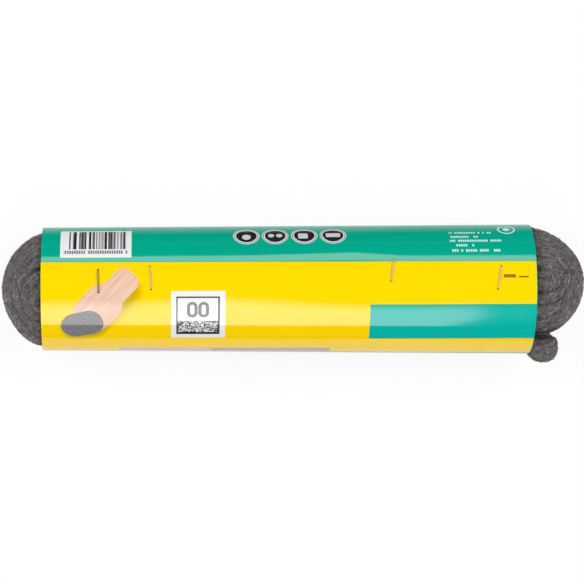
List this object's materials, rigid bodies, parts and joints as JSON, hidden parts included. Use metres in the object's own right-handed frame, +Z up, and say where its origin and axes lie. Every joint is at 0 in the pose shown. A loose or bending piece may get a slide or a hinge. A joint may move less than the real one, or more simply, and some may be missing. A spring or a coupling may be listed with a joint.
{
  "type": "steel wool roll",
  "caption": "Flat coil of fine steel wool ribbon with round ends, held in a wrapped card sleeve whose lapped edges are stapled along the top.",
  "frame": {"origin": "middle of the flat spot that the roll lies on, under the middle of the card sleeve", "axes": "+X along the roll towards the end with the folded-out ribbon end, +Z up through the label, +Y towards the side that the sleeve's free edge faces"},
  "size_m": [0.3165, 0.0751, 0.0709],
  "materials": {
    "steel_wool": "soft mat of fine dark grey steel fibres",
    "printed_card": "thin glossy printed card, yellow and green",
    "staple_wire": "bright plated flat wire"
  },
  "bodies": {
    "root": {"steel_wool_roll": "steel_wool", "card_sleeve": "printed_card", "staple_1": "staple_wire", "staple_2": "staple_wire", "staple_3": "staple_wire", "staple_4": "staple_wire"}
  },
  "joints": []
}
